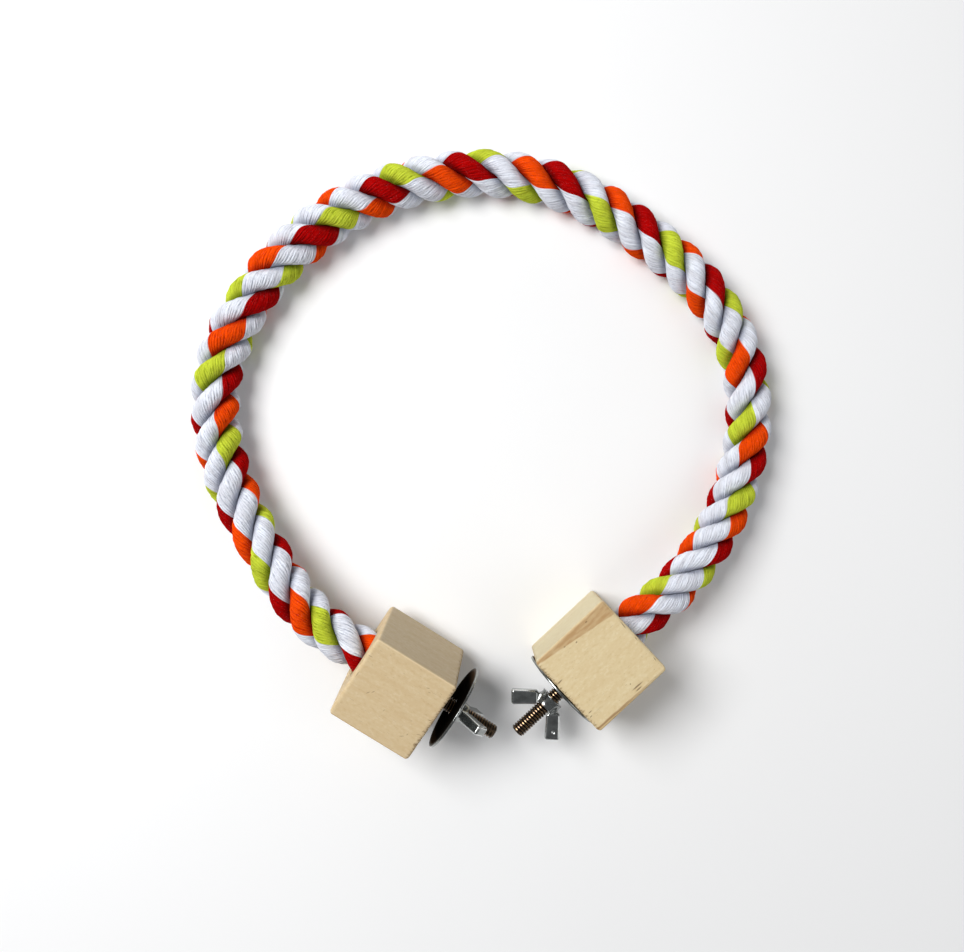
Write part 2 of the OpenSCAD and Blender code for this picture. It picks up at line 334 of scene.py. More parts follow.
slip = np.interp(from_face * MM_PER_M, SLIP_AT_MM, SLIP_MM) / MM_PER_M
spread = np.hanning(SLIP_SMOOTH_ROWS)
slip = np.convolve(np.pad(slip, SLIP_SMOOTH_ROWS // 2, mode="edge"), spread / spread.sum(), mode="valid")
girth = np.interp(from_face, GIRTH_AT, GIRTH)[:, None]
rope_points, rope_faces, rope_dye, rope_groove, rope_crease_shade, rope_uv = [], [], [], [], [], []
for index, (dye, white_at) in enumerate(STRANDS):
    lays = (from_face - FIRST_CREST + slip) / LAY - index / 3
    strand_turn = np.radians(FACING_DEG - 360 * lays)
    yarn_turn = np.radians(FACING_DEG - read_on(lays, white_at) + 360 * lays)
    widths = rng.uniform(*YARN_WIDTHS, YARNS)
    edges = np.concatenate([[0], np.cumsum(widths)]) / widths.sum() * 2 * math.pi
    swell = wander(rng, YARNS, rows, SWELL_ROWS) * YARN_WANDER
    swell += wander(rng, YARNS, rows, RIPPLE_ROWS) * YARN_WANDER / 2
    sway = wander(rng, YARNS, rows, SWAY_ROWS) * YARN_SWAY
    turns, reach, v, dips, dyes = [], [], [], [], []
    for yarn in range(YARNS):
        half_width = (edges[yarn + 1] - edges[yarn]) / 2
        middle = edges[yarn] + half_width
        for u in YARN_STEPS:
            dip = 1 - math.sqrt(1 - u * u)
            turns.append(middle + u * half_width + sway[yarn])
            reach.append(STRAND_R + swell[yarn] * (1 - abs(u)) - YARN_DEPTH * dip)
            v.append(yarn + (u + 1) / 2)
            dips.append(dip)
            dyes.append(WHITE if math.cos(middle) > 0 else dye)
    columns = len(turns)
    turn = np.array(turns).T + (yarn_turn - strand_turn)[:, None]
    reach = np.array(reach).T
    x, y = press_flat(STRAND_PITCH_R + reach * np.cos(turn), STRAND_FLATTEN * reach * np.sin(turn))
    # Painted shade: how far down each point lies in the creases between strands, where the cotton is
    # painted darker.
    crease_shade = np.clip((CREASE_SHADE_FROM_R - np.hypot(x, y)) / (CREASE_SHADE_FROM_R - CREASE_SHADE_TO_R), 0, 1)
    x, y = x * girth, y * girth
    out = np.cos(strand_turn)[:, None] * inner + np.sin(strand_turn)[:, None] * upper
    across = -np.sin(strand_turn)[:, None] * inner + np.cos(strand_turn)[:, None] * upper
    rings = rope_line[:, None] + x[..., None] * out[:, None] + y[..., None] * across[:, None]
    rings[..., 2] = np.maximum(rings[..., 2], FLOOR_CONTACT)
    first = sum(len(p) for p in rope_points)
    ring_ids = first + np.arange(columns)
    centre_id = first + rows * columns
    rope_points.append(np.vstack([rings.reshape(-1, 3), rings[0].mean(0), rings[-1].mean(0)]))
    rope_faces += [
        tube_faces(rows, columns, first, flip=True),
        end_fan(ring_ids, centre_id),
        end_fan(ring_ids + (rows - 1) * columns, centre_id + 1, flip=True),
    ]
    rope_dye.append(np.vstack([np.tile(np.array(dyes), (rows, 1)), [WHITE, WHITE]]))
    rope_groove.append(np.concatenate([np.tile(dips, rows), (1, 1)]))
    rope_crease_shade.append(np.concatenate([crease_shade.ravel(), (1, 1)]))
    v = np.array(v + [YARNS]) + STRANDS_V_APART * index
    i, j = np.meshgrid(np.arange(rows - 1), np.arange(columns), indexing="ij")
    corner_u = rope_run[np.stack([i, i, i + 1, i + 1], -1)] * MM_PER_M
    corner_v = v[np.stack([j, j + 1, j + 1, j], -1)]
    corners = np.stack([corner_u, corner_v], -1).reshape(-1, 4, 2)[:, ::-1]
    end_corners = np.zeros((2 * 3 * columns, 2))
    rope_uv.append(np.vstack([corners.reshape(-1, 2), end_corners]))

cotton, shader, principled = new_material("dyed_cotton", Roughness=0.95, Specular_IOR_Level=0.04)
yarn_uv = shader.add("ShaderNodeUVMap", uv_map="yarn").outputs["UV"]
lint = shader.grain(yarn_uv, (0.9, 4.0, 1.0), 4.0, 0.65)
ply = shader.grain(yarn_uv, (0.28, 1.7, 1.0), 3.0, 0.6)
tone = shader.grain(yarn_uv, (0.08, 0.4, 1.0))
flecks = shader.grain(yarn_uv, (1.5, 5.0, 1.0), 3.0, 0.6)
dyed = shader.attribute("dye", "Color")
groove = shader.attribute("groove")
# Painted shade: the cotton's colour in shade, its dye squared and darkened by SHADOW_TINT, which the
# grooves and creases below take on.
deep = shader.mix(1.0, shader.mix(1.0, dyed, dyed, "MULTIPLY"), SHADOW_TINT, "MULTIPLY")
worn = shader.mix(shader.band(tone, 0.3, 0.7), dyed, WORN_TINT, "MULTIPLY")
# Painted shade in the grooves between yarns, broken up along them; the streaks are the yarns' own marks.
shade = shader.times(shader.band(groove, 0.1, 1.0), shader.band(ply, 0.4, 0.66, 0.2, 0.9))
ply_streak = shader.band(ply, 0.52, 0.72, 0.0, 0.75)
lint_streak = shader.band(lint, 0.52, 0.72, 0.0, 0.45)
streak = shader.math("ADD", ply_streak, lint_streak)
combed = shader.band(shader.axes(yarn_uv)[0], COMBED_TO_MM, FLUFFY_FROM_MM, 1.0, 0.6)
shade_and_streaks = shader.times(combed, shader.math("MAXIMUM", shade, streak))
# Painted shade: the cotton darkened down in the creases between strands.
shade_in_creases = shader.times(shader.attribute("crease_shade"), 0.7)
yarn = shader.mix(shader.math("MAXIMUM", shade_in_creases, shade_and_streaks), worn, deep)
linted = shader.mix(shader.band(flecks, 0.6, 0.72, 0.0, 0.45), yarn, shader.mix(0.25, worn, WHITE))
shader.set(principled.inputs["Base Color"], linted)
add_bump(shader, principled, shader.math("ADD", lint, shader.times(ply, -1.6)), 0.7, 0.0005)

rope = new_piece("rope_strands", np.vstack(rope_points), rope_faces, cotton)
point_value(rope, "dye", "FLOAT_COLOR", np.pad(np.vstack(rope_dye), ((0, 0), (0, 1)), constant_values=1))
point_value(rope, "groove", "FLOAT", np.concatenate(rope_groove))
point_value(rope, "crease_shade", "FLOAT", np.concatenate(rope_crease_shade))
rope.data.uv_layers.new(name="yarn").data.foreach_set("uv", np.vstack(rope_uv).astype(np.float32).ravel())
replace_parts(rope, "rope")
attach(rope, "ring")

# End tapes. A turn of white cloth tape round each cut end of the rope, inside its socket, keeps
# the strands from unlaying. Glue holds the taped end in the wood.
TAPE_THREAD = from_srgb(232, 226, 208)
TAPE_GAP = from_srgb(206, 198, 178)
tape, shader, principled = new_material("cloth_tape", Roughness=0.85)
weave = shader.noise(shader.add("ShaderNodeTexCoord").outputs["Object"], 2500.0, 2.0)
tape_colour = shader.mix(shader.band(weave, 0.35, 0.65), TAPE_THREAD, TAPE_GAP)
shader.set(principled.inputs["Base Color"], tape_colour)
add_bump(shader, principled, weave, 0.4, 0.0001)
for name in ("left_end_tape", "right_end_tape"):
    for material_slot in frame["nodes"][name].material_slots:
        material_slot.material = tape

# Blocks. Cubes sawn from square pine, with sanded sides and worn corners, drilled for the rope on one
# face and for the hanger bolt on the other. The left one lies tipped on its lower edge. The saw has
# torn the fibres along the edges of the bolt's face.
BLOCK_W = 0.0393
SOCKET_R = 0.0111
BOLT_R = 0.003175
BOLT_HOLE_DEPTH = 0.0243
LONG_EDGE_R = 0.001
END_EASE = 0.0014
CORNER_WEAR = 0.001
LEFT_ROLL_DEG = 13.0
FLAT_STEPS, CORNER_STEPS, EASE_STEPS = 60, 7, 5
SIDE_RINGS, FACE_RINGS, HOLE_RINGS = 60, 16, 8
HOLE_MARGIN = 0.001
TEAR_REACH = 0.0022
TEAR_FADE = 6
FRAY = 0.00006
NICKS = 26
NICK_COLUMNS = (1, 3)
NICK_DEPTHS = (0.0001, 0.0004)
NICK_DARK_FROM, NICK_DARK_OVER = 0.00015, 0.0003
SAND_WAVE, SAND_WAVE_RINGS = 0.00003, 25


def square_outline(half, corner):
    """Round-cornered square, counter-clockwise: points and the way that each one faces."""
    points, facing = [], []
    flat = half - corner
    for quarter in range(4):
        c, s = round(math.cos(quarter * math.pi / 2)), round(math.sin(quarter * math.pi / 2))
        side = [((half, t), (1.0, 0.0)) for t in np.linspace(-flat, flat, FLAT_STEPS, endpoint=False)]
        for a in np.linspace(0, math.pi / 2, CORNER_STEPS, endpoint=False):
            way = (math.cos(a), math.sin(a))
            side.append(((flat + corner * way[0], flat + corner * way[1]), way))
        for (px, py), (nx, ny) in side:
            points.append((c * px - s * py, s * px + c * py))
            facing.append((c * nx - s * ny, s * nx + c * ny))
    return np.array(points), np.array(facing)


def inset_outline(inset):
    """A block's outline moved in from its sides, with corners that never turn inside out."""
    return square_outline(BLOCK_W / 2 - inset, max(LONG_EDGE_R - inset, LONG_EDGE_R / 10))


def eased_outline(share):
    """A block's outline drawn in at one end, further at the upright corners, which wear most."""
    return inset_outline(END_EASE * share)[0] * (1 - CORNER_WEAR * share / (BLOCK_W / 2), 1.0)


def block_frame(axis, roll_deg):
    """A block's own axes: along its bolt, across it and out of its top."""
    across = unit(np.cross((0, 0, 1), axis))
    top = np.cross(axis, across)
    sin_roll, cos_roll = math.sin(math.radians(roll_deg)), math.cos(math.radians(roll_deg))
    return np.stack([axis, cos_roll * across + sin_roll * top, cos_roll * top - sin_roll * across])


def block_rings(hole_at):
    """A drilled block's rings of points in its own axes, from the rope socket round to the bolt hole."""
    outline, facing = inset_outline(0.0)
    ways = unit(outline - hole_at)
    count = len(outline)
    ease = np.linspace(0, math.pi / 2, EASE_STEPS)
    rings, torn = [], []

    def ring(x, points, wear=0.0):
        rings.append(np.column_stack([np.full(count, x), points]))
        torn.append(wear)

    def end_face(sign, hole_r, depth, wear):
        """Rings of one end, from its eased edge over the face and down the hole."""
        edge = eased_outline(1.0)
        rim = hole_at + ways * hole_r
        for share in np.linspace(0, 1, FACE_RINGS)[1:]:
            ring(sign * HALF, edge * (1 - share) + rim * share, wear * max(0.0, 1 - TEAR_FADE * share))
        for share in np.linspace(0, 1, HOLE_RINGS)[1:]:
            ring(sign * (HALF - depth * share), rim)

    end_face(-1, SOCKET_R, SOCKET_DEPTH, 0.0)
    rings.reverse()
    for a in ease[::-1]:
        ring(-HALF + END_EASE * (1 - math.sin(a)), eased_outline(1 - math.cos(a)))
    for x in np.linspace(-HALF + END_EASE, HALF - END_EASE, SIDE_RINGS)[1:-1]:
        ring(x, outline, max(0.0, 1 - (HALF - x) / TEAR_REACH))
    for a in ease:
        ring(HALF - END_EASE * (1 - math.sin(a)), eased_outline(1 - math.cos(a)), 1.0)
    end_face(1, BOLT_R + SNUG, BOLT_HOLE_DEPTH, 1.0)
    return np.array(rings), np.array(torn), facing


def rough_edge(rng, count):
    """How deep the fibres are torn at each point round the bolt face: little, with some deep nicks."""
    nicks = np.abs(rng.normal(0, FRAY, count))
    for _ in range(NICKS):
        at, width = rng.integers(count), rng.integers(*NICK_COLUMNS)
        nicks[np.arange(at, at + width) % count] += rng.uniform(*NICK_DEPTHS)
    return nicks


def new_block(name, node, drilled, axes, seed, material):
    """One block in its place, with where each point is in the wood for its grain."""
    rng = np.random.default_rng(seed)
    middle = node_middle(node)
    rings, torn, facing = block_rings((drilled - middle) @ axes[1:].T)
    rows, columns = rings.shape[:2]
    tears = rough_edge(rng, columns)
    waves = wander(rng, columns, rows, SAND_WAVE_RINGS).T * SAND_WAVE
    clear_of_holes = np.abs(rings[..., 1:]).max(-1) > SOCKET_R + HOLE_MARGIN
    grain = rings * MM_PER_M
    rings[..., 0] -= torn[:, None] * tears[None]
    rings[..., 1:] += (waves * clear_of_holes)[..., None] * facing[None]
    points = middle + rings.reshape(-1, 3) @ axes
    ends = np.stack([points[:columns].mean(0), points[-columns:].mean(0)])
    ring_ids, last = np.arange(columns), (rows - 1) * columns
    faces = [
        tube_faces(rows, columns), end_fan(ring_ids, rows * columns, flip=True),
        end_fan(ring_ids + last, rows * columns + 1),
    ]
    block = new_piece(name, np.vstack([points, ends]), faces, material)
    point_value(block, "grain", "FLOAT_VECTOR", np.vstack([grain.reshape(-1, 3), np.zeros((2, 3))]))
    nick = np.clip(torn[:, None] * (tears[None] - NICK_DARK_FROM) / NICK_DARK_OVER, 0, 1)
    point_value(block, "nick", "FLOAT", np.concatenate([nick.ravel(), (0, 0)]))
    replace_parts(block, node)
    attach(block, "ring")


# Pine: growth rings round a pith outside the block, fibres along the bolt, a soft mottle and resin
# ducts as short strokes. Both blocks share it, each from its own part of the tree. Places in the
# wood are in millimetres from the block's middle: x along the bolt, y across it and z up.
YEAR_RING_MM = 4.2
EARLY_WOOD, LATE_WOOD = from_srgb(219, 197, 156), from_srgb(200, 168, 118)
TORN_WOOD = from_srgb(124, 86, 46)
STROKE_BROWN = from_srgb(88, 56, 27)
pine = bpy.data.node_groups.new("pine", "ShaderNodeTree")
pine.interface.new_socket("At", in_out="INPUT", socket_type="NodeSocketVector")
pine.interface.new_socket("Pith", in_out="INPUT", socket_type="NodeSocketVector")
pine.interface.new_socket("Colour", in_out="OUTPUT", socket_type="NodeSocketColor")
pine.interface.new_socket("Height", in_out="OUTPUT", socket_type="NodeSocketFloat")
shader = Shader(pine)
given = shader.add("NodeGroupInput").outputs
from_pith = shader.add(
    "ShaderNodeVectorMath", {0: given["At"], 1: given["Pith"]}, operation="SUBTRACT"
).outputs[0]
_, y, z = shader.axes(from_pith)
radius = shader.math("SQRT", shader.math("ADD", shader.times(y, y), shader.times(z, z)))
warp = shader.grain(given["At"], (0.02, 0.09, 0.09))
years = shader.math("ADD", shader.math("DIVIDE", radius, YEAR_RING_MM), shader.times(warp, 1.6))
year = shader.math("FRACT", years)
late = shader.times(shader.band(year, 0.35, 0.9), shader.band(year, 0.93, 1.0, 1.0, 0.0))
fibre = shader.grain(given["At"], (0.09, 1.8, 1.8), 4.0, 0.6)
broad = shader.grain(given["At"], (0.05, 0.25, 0.25))
duct = shader.grain(given["At"], (0.35, 4.5, 4.5), 1.0)
mottle = shader.grain(given["At"], (0.5, 0.8, 0.8), 4.0, 0.6)
wood = shader.mix(shader.band(late, 0.0, 1.0, 0.0, 0.14), EARLY_WOOD, LATE_WOOD)
for share, tint in (
    (shader.band(fibre, 0.35, 0.7, 0.0, 0.16), from_srgb(226, 208, 174)),
    (shader.band(mottle, 0.5, 0.68, 0.0, 0.4), from_srgb(231, 214, 180)),
    (shader.band(mottle, 0.3, 0.46, 0.35, 0.0), from_srgb(200, 172, 124)),
    (shader.band(broad, 0.4, 0.7, 0.0, 0.3), from_srgb(209, 182, 138)),
    (shader.band(duct, 0.74, 0.8, 0.0, 0.6), from_srgb(128, 98, 60)),
):
    wood = shader.mix(share, wood, tint)
relief = shader.math("SUBTRACT", shader.times(fibre, 0.6), shader.band(duct, 0.7, 0.82))
result = shader.add("NodeGroupOutput")
shader.set(result.inputs["Colour"], wood)
shader.set(result.inputs["Height"], relief)


def pine_material(name, pith):
    """Pine for one block: the material, its nodes, its shader, its wood colour and the place in it."""
    material, shader, principled = new_material(name, Roughness=0.62, Specular_IOR_Level=0.35)
    at = shader.attribute("grain", "Vector")
    grain = shader.add("ShaderNodeGroup", node_tree=pine)
    shader.set(grain.inputs["At"], at)
    shader.set(grain.inputs["Pith"], pith)
    add_bump(shader, principled, grain.outputs["Height"], 0.35, 0.0003)
    fibres = shader.grain(at, (0.3, 1.9, 1.9), 3.0, 0.6)
    x, y, z = shader.axes(at)
    outer = shader.math("MAXIMUM", shader.math("ABSOLUTE", y), shader.math("ABSOLUTE", z))
    splinters = shader.times(
        shader.band(x, 17.2, 19.0, 0.0, 0.85), shader.band(outer, 17.6, 19.2),
        shader.band(fibres, 0.47, 0.6),
    )
    torn = shader.math("MAXIMUM", shader.times(shader.attribute("nick"), 0.5), splinters)
    nicked = shader.mix(torn, grain.outputs["Colour"], TORN_WOOD)
    return material, shader, principled, nicked, at


def marked(shader, at, wood, strokes, strength):
    """Wood with short dark strokes on the block's top: place, lean, half length and half width."""
    total = 0.0
    top = BLOCK_W / 2 * MM_PER_M
    for x, y, lean_deg, half_len, half_w in strokes:
        stroke = {
            "Vector": at, "Location": (x, y, top), "Scale": (half_len, half_w, 1.0),
            "Rotation": (0.0, 0.0, math.radians(lean_deg)),
        }
        place = shader.add("ShaderNodeMapping", stroke, vector_type="TEXTURE").outputs[0]
        away = shader.add("ShaderNodeVectorMath", {0: place}, operation="LENGTH").outputs["Value"]
        total = shader.math("MAXIMUM", total, shader.band(away, 0.3, 1.0, strength, 0.0))
    return shader.mix(total, wood, STROKE_BROWN)


LEFT_PITH = (0.0, -38.0, 44.0)
LEFT_TONE = (0.88, 0.86, 0.84)
LEFT_SIDE_SHADE = (0.8, 0.83, 0.9)
LEFT_SEED = 3
LEFT_STROKES = [
    (-10.2, -2.6, 55, 1.3, 0.3), (-8.6, -1.1, 60, 1.1, 0.28), (9.2, 12.9, 20, 1.0, 0.25),
    (10.6, 11.6, 12, 0.8, 0.2), (11.4, -11.3, 35, 1.3, 0.25), (12.9, -9.4, 70, 0.7, 0.25),
    (-0.7, -5.6, 80, 0.8, 0.18), (-17.6, 11.6, 5, 1.4, 0.25), (17.3, 1.2, 10, 1.2, 0.3),
    (17.6, -4.5, 65, 1.0, 0.3), (16.8, -6.8, 25, 1.3, 0.22), (-18.0, 2.0, 88, 2.0, 0.2),
]
left_pine, shader, principled, wood, at = pine_material("left_pine", LEFT_PITH)
wood = shader.mix(1.0, marked(shader, at, wood, LEFT_STROKES, 0.45), LEFT_TONE, "MULTIPLY")
_, y, z = shader.axes(at)
# Painted shade: the side face turned from the light made darker and cooler than the top.
shaded_side = shader.band(y, 19.3, 19.6)
wood = shader.mix(shaded_side, wood, shader.mix(1.0, wood, LEFT_SIDE_SHADE, "MULTIPLY"))
# Painted highlight: the rounded edge between the top and that side made paler, as where it catches the
# light.
edge_highlight = shader.times(shader.band(y, 18.8, 19.3, 0.0, 0.4), shader.band(z, 19.0, 19.5))
wood = shader.mix(edge_highlight, wood, from_srgb(232, 214, 176))
low_edge = shader.times(shader.band(y, -19.4, -18.7, 1.0, 0.0), shader.band(z, 18.4, 19.2), 0.6)
wood = shader.mix(low_edge, wood, from_srgb(206, 160, 92))
shader.set(principled.inputs["Base Color"], wood)
left_axes = block_frame(left_axis, LEFT_ROLL_DEG)
new_block("left_pine_block", "left_block", left_middle, left_axes, LEFT_SEED, left_pine)

RIGHT_PITH = (0.0, -34.0, -52.0)
RIGHT_TONE = (0.96, 0.98, 0.955)
RIGHT_LIT_SIDE_TINT = (0.88, 0.97, 1.04)
RIGHT_SEED = 8
RIGHT_STROKES = [
    (-7.9, -17.5, 0, 0.7, 0.35), (0.7, -14.1, 20, 0.6, 0.4), (-5.4, 16.3, -2, 3.6, 0.45),
    (-5.0, 17.5, 0, 2.2, 0.4), (-3.8, 13.7, 40, 0.4, 0.3), (16.9, -6.8, 3, 2.0, 0.4),
    (16.2, 10.8, 0, 1.3, 0.3), (17.2, 12.4, 8, 0.9, 0.25), (-18.2, -6.0, 85, 2.4, 0.25),
    (-18.3, 1.5, 88, 1.0, 0.25), (-18.2, 13.0, 85, 1.4, 0.2), (5.6, -16.0, 0, 0.6, 0.3),
]
right_pine, shader, principled, wood, at = pine_material("right_pine", RIGHT_PITH)
x, y, z = shader.axes(at)
ragged = shader.times(shader.grain(at, (0.25, 1.2, 1.2), 3.0), 0.7)
mottle = shader.grain(at, (0.16, 0.7, 0.7), 3.0)
heart = shader.math("ADD", y, shader.times(x, 0.16), ragged)
streak = shader.times(
    shader.band(heart, -15.0, -14.5, 1.0, 0.0), shader.band(mottle, 0.35, 0.65, 0.55, 0.85),
    shader.band(y, -19.6, -18.6, 0.3, 1.0), shader.band(z, 18.9, 19.5),
)
wood = shader.mix(streak, wood, from_srgb(176, 134, 86))
wood = marked(shader, at, wood, RIGHT_STROKES, 0.72)
low = shader.math("ADD", y, shader.times(x, 0.03), ragged)
dark_edge = shader.times(
    shader.band(low, 18.2, 18.8), shader.band(low, 19.2, 19.6, 1.0, 0.0),
    shader.band(x, -16.0, 12.0, 0.15, 0.75),
)
wood = shader.mix(dark_edge, wood, from_srgb(140, 98, 52))
gold_edge = shader.times(shader.band(low, 19.3, 19.6), shader.band(z, 18.4, 19.2), 0.5)
wood = shader.mix(gold_edge, wood, from_srgb(206, 168, 108))
# Painted light: the side face turned towards the light is tinted cooler than the top.
lit_side = shader.band(y, -19.6, -19.3, 1.0, 0.0)
wood = shader.mix(1.0, wood, shader.mix(lit_side, RIGHT_TONE, RIGHT_LIT_SIDE_TINT), "MULTIPLY")
shader.set(principled.inputs["Base Color"], wood)
right_axes = block_frame(right_axis, 0.0)
new_block("right_pine_block", "right_block", right_middle, right_axes, RIGHT_SEED, right_pine)

# Hanger bolts. Steel, yellow zinc plated: a rolled 1/4-20 machine thread outside, and a coarse
# wood-screw thread with a point, which is driven into the block. Distances along a bolt are from
# the face that it comes out of.
BOLT_OUT = 0.0275
BOLT_BEVEL, BEVEL_SLOPE = 0.0008, 1.2
TIP_CROWN, TIP_SHARES = 0.0001, (0.8, 0.5, 0.2)
MACHINE_PITCH = 0.00127
MACHINE_DEPTH = 0.0006
MACHINE_CREST, MACHINE_ROOT = 0.45, 0.16
WOOD_PITCH = 0.0026
WOOD_DEPTH = 0.0008
WOOD_CREST, WOOD_ROOT = 0.1, 0.55
WOOD_CORE_R = 0.0022
PLAIN_FROM, PLAIN_TO = -0.0075, -0.0045
PLAIN_STEP_IN = 0.0003
RUNOUT_LEN = 0.0015
POINT_AT, POINT_LEN, POINT_R = -0.0243, 0.007, 0.0001
WOOD_STEP, MACHINE_STEP = 0.00022, 0.0001
BOLT_COLUMNS = 48
PLATE_BRIGHT, PLATE_DULL = from_srgb(122, 92, 52), from_srgb(82, 58, 32)
ROOT_SHADE = from_srgb(14, 9, 6)


def thread_form(turns, crest, root):
    """Height from 0 to 1 of a thread with flat crests and roots."""
    rise = 1 - 2 * np.abs(turns - np.floor(turns) - 0.5)
    return np.clip((rise - root) / (1 - root - crest), 0, 1)


def new_bolt(name, middle, axis, material):
    """A hanger bolt in its place, its thread cut as a real right-hand helix."""
    wood_u = np.arange(POINT_AT, PLAIN_FROM, WOOD_STEP)
    machine_u = np.arange(PLAIN_FROM, BOLT_OUT, MACHINE_STEP)
    u = np.concatenate([wood_u, machine_u, [BOLT_OUT]])[:, None]
    turn = np.linspace(0, 2 * math.pi, BOLT_COLUMNS, endpoint=False)[None]
    machine = thread_form(u / MACHINE_PITCH - turn / (2 * math.pi), MACHINE_CREST, MACHINE_ROOT)
    coarse = thread_form(u / WOOD_PITCH - turn / (2 * math.pi), WOOD_CREST, WOOD_ROOT)
    taper = np.clip((u - POINT_AT) / POINT_LEN, 0, 1)
    wood_r = taper * (WOOD_CORE_R + WOOD_DEPTH * coarse) + POINT_R
    machine_r = BOLT_R - MACHINE_DEPTH * (1 - machine)
    plain_r = BOLT_R - PLAIN_STEP_IN
    runout = np.clip((u - PLAIN_TO) / RUNOUT_LEN, 0, 1)
    r = np.where(u < PLAIN_FROM, wood_r, plain_r * (1 - runout) + machine_r * runout)
    r = np.minimum(r, BOLT_R - BOLT_BEVEL + BEVEL_SLOPE * (BOLT_OUT - u))
    groove = np.where(u < PLAIN_FROM, 1 - coarse, (1 - machine) * runout)
    across, up = block_frame(axis, 0.0)[1:]
    ways = np.cos(turn)[..., None] * across + np.sin(turn)[..., None] * up
    points = middle + (HALF + u)[..., None] * axis + r[..., None] * ways
    tip_rings = [
        (r[-1] * share)[:, None] * ways[0] + middle + (HALF + BOLT_OUT + TIP_CROWN * (1 - share)) * axis
        for share in TIP_SHARES
    ]
    points = np.vstack([points.reshape(-1, 3)] + tip_rings)
    rows = len(u) + len(tip_rings)
    ends = np.stack([middle + (HALF + POINT_AT) * axis, points[-BOLT_COLUMNS:].mean(0)])
    ring_ids = np.arange(BOLT_COLUMNS)
    faces = [
        tube_faces(rows, BOLT_COLUMNS), end_fan(ring_ids, len(points), flip=True),
        end_fan(ring_ids + (rows - 1) * BOLT_COLUMNS, len(points) + 1),
    ]
    bolt = new_piece(name, np.vstack([points, ends]), faces, material)
    tip_groove = np.zeros(len(tip_rings) * BOLT_COLUMNS + len(ends))
    groove = np.broadcast_to(groove, r.shape).ravel()
    point_value(bolt, "groove", "FLOAT", np.concatenate([groove, tip_groove]))
    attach(bolt, "ring")
    return bolt


brass_zinc, shader, principled = new_material(
    "yellow_zinc_plate", Metallic=1.0, Coat_Roughness=0.12, Coat_IOR=1.6
)
place = shader.add("ShaderNodeTexCoord").outputs["Object"]
film = shader.noise(place, 420.0, 3.0)
wear = shader.noise(place, 1600.0, 2.0)
plate = shader.mix(shader.band(film, 0.3, 0.7), PLATE_BRIGHT, PLATE_DULL)
groove = shader.attribute("groove")
# Painted shade: the thread roots darkened nearly to black, and their clear coat thinned so that they
# mirror less.
root_shaded = shader.mix(shader.band(groove, 0.2, 0.75), plate, ROOT_SHADE)
shader.set(principled.inputs["Base Color"], root_shaded)
shader.set(principled.inputs["Coat Weight"], shader.band(groove, 0.1, 0.6, 1.0, 0.1))
shader.set(principled.inputs["Roughness"], shader.band(wear, 0.3, 0.7, 0.14, 0.25))
for side, middle, axis in (("left", left_middle, left_axis), ("right", right_middle, right_axis)):
    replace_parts(new_bolt(f"{side}_threaded_bolt", middle, axis, brass_zinc), f"{side}_hanger_bolt")

# Washers. Fender washers stamped from steel sheet, clear zinc plated: round on the side where the
# die went in, sharp on the other. The right one lies against its block, the left one has slid
# back against its wing nut.
WASHER_R = 0.019
WASHER_HOLE_R = 0.00355
WASHER_T = 0.001
DIE_ROLL, HOLE_ROLL = 0.00045, 0.0003
HOLE_BREAK, RIM_BREAK, BREAK_H, RIM_BREAK_H = 0.00012, 0.00006, 0.00004, 0.0002
BACK_FLAT = (WASHER_HOLE_R + 0.0005, WASHER_R - 0.0003)
FRONT_FLAT = (WASHER_R - DIE_ROLL - 0.0004, WASHER_HOLE_R + 0.0008)
FLAT_RINGS, ROLL_STEPS, WASHER_COLUMNS = 12, 6, 144
TWO_WAY_BOW, THREE_WAY_BOW = 0.00006, 0.00003
BACK_SHADE_EDGE, BACK_SHADE_FADE = 0.0001, 0.0003
LEFT_WASHER_U = 0.00625
RIGHT_WASHER_U = 0.00027
RIGHT_WASHER_LEAN = 0.009
WASHER_BUMP = 0.12
BACK_SHADE_BLACK, WOOD_REFLECTION_BROWN = (0.006, 0.005, 0.004), from_srgb(70, 54, 40)

# Clear zinc: clouded grey metal with a fine grit and bright scratches. The washers and the wing
# nuts share it.
ZINC_PALE, ZINC_DARK = from_srgb(160, 163, 161), from_srgb(128, 130, 128)
ZINC_SCRATCH = from_srgb(222, 222, 222)
zinc = bpy.data.node_groups.new("clear_zinc", "ShaderNodeTree")
zinc.interface.new_socket("At", in_out="INPUT", socket_type="NodeSocketVector")
zinc.interface.new_socket("Colour", in_out="OUTPUT", socket_type="NodeSocketColor")
zinc.interface.new_socket("Roughness", in_out="OUTPUT", socket_type="NodeSocketFloat")
zinc.interface.new_socket("Height", in_out="OUTPUT", socket_type="NodeSocketFloat")
shader = Shader(zinc)
given = shader.add("NodeGroupInput").outputs
cloud = shader.noise(given["At"], 260.0, 4.0, 0.6)
grit = shader.noise(given["At"], 1900.0, 3.0, 0.6)
scratch = shader.grain(given["At"], (300.0, 2600.0, 2600.0))
metal = shader.mix(shader.band(cloud, 0.3, 0.7), ZINC_PALE, ZINC_DARK)
metal = shader.mix(shader.band(scratch, 0.62, 0.7, 0.0, 0.2), metal, ZINC_SCRATCH)
result = shader.add("NodeGroupOutput")
shader.set(result.inputs["Colour"], metal)
shader.set(result.inputs["Roughness"], shader.band(grit, 0.25, 0.75, 0.12, 0.24))
shader.set(result.inputs["Height"], shader.math("ADD", grit, shader.times(cloud, 0.6)))


def zinc_material(name, bump):
    """Clear zinc plate: the material, its nodes, its shader and its colour."""
    material, shader, principled = new_material(name, Metallic=1.0)
    finish = shader.add("ShaderNodeGroup", node_tree=zinc)
    shader.set(finish.inputs["At"], shader.add("ShaderNodeTexCoord").outputs["Object"])
    shader.set(principled.inputs["Base Color"], finish.outputs["Colour"])
    shader.set(principled.inputs["Roughness"], finish.outputs["Roughness"])
    add_bump(shader, principled, finish.outputs["Height"], bump, 0.0002)
    return material, shader, principled, finish.outputs["Colour"]


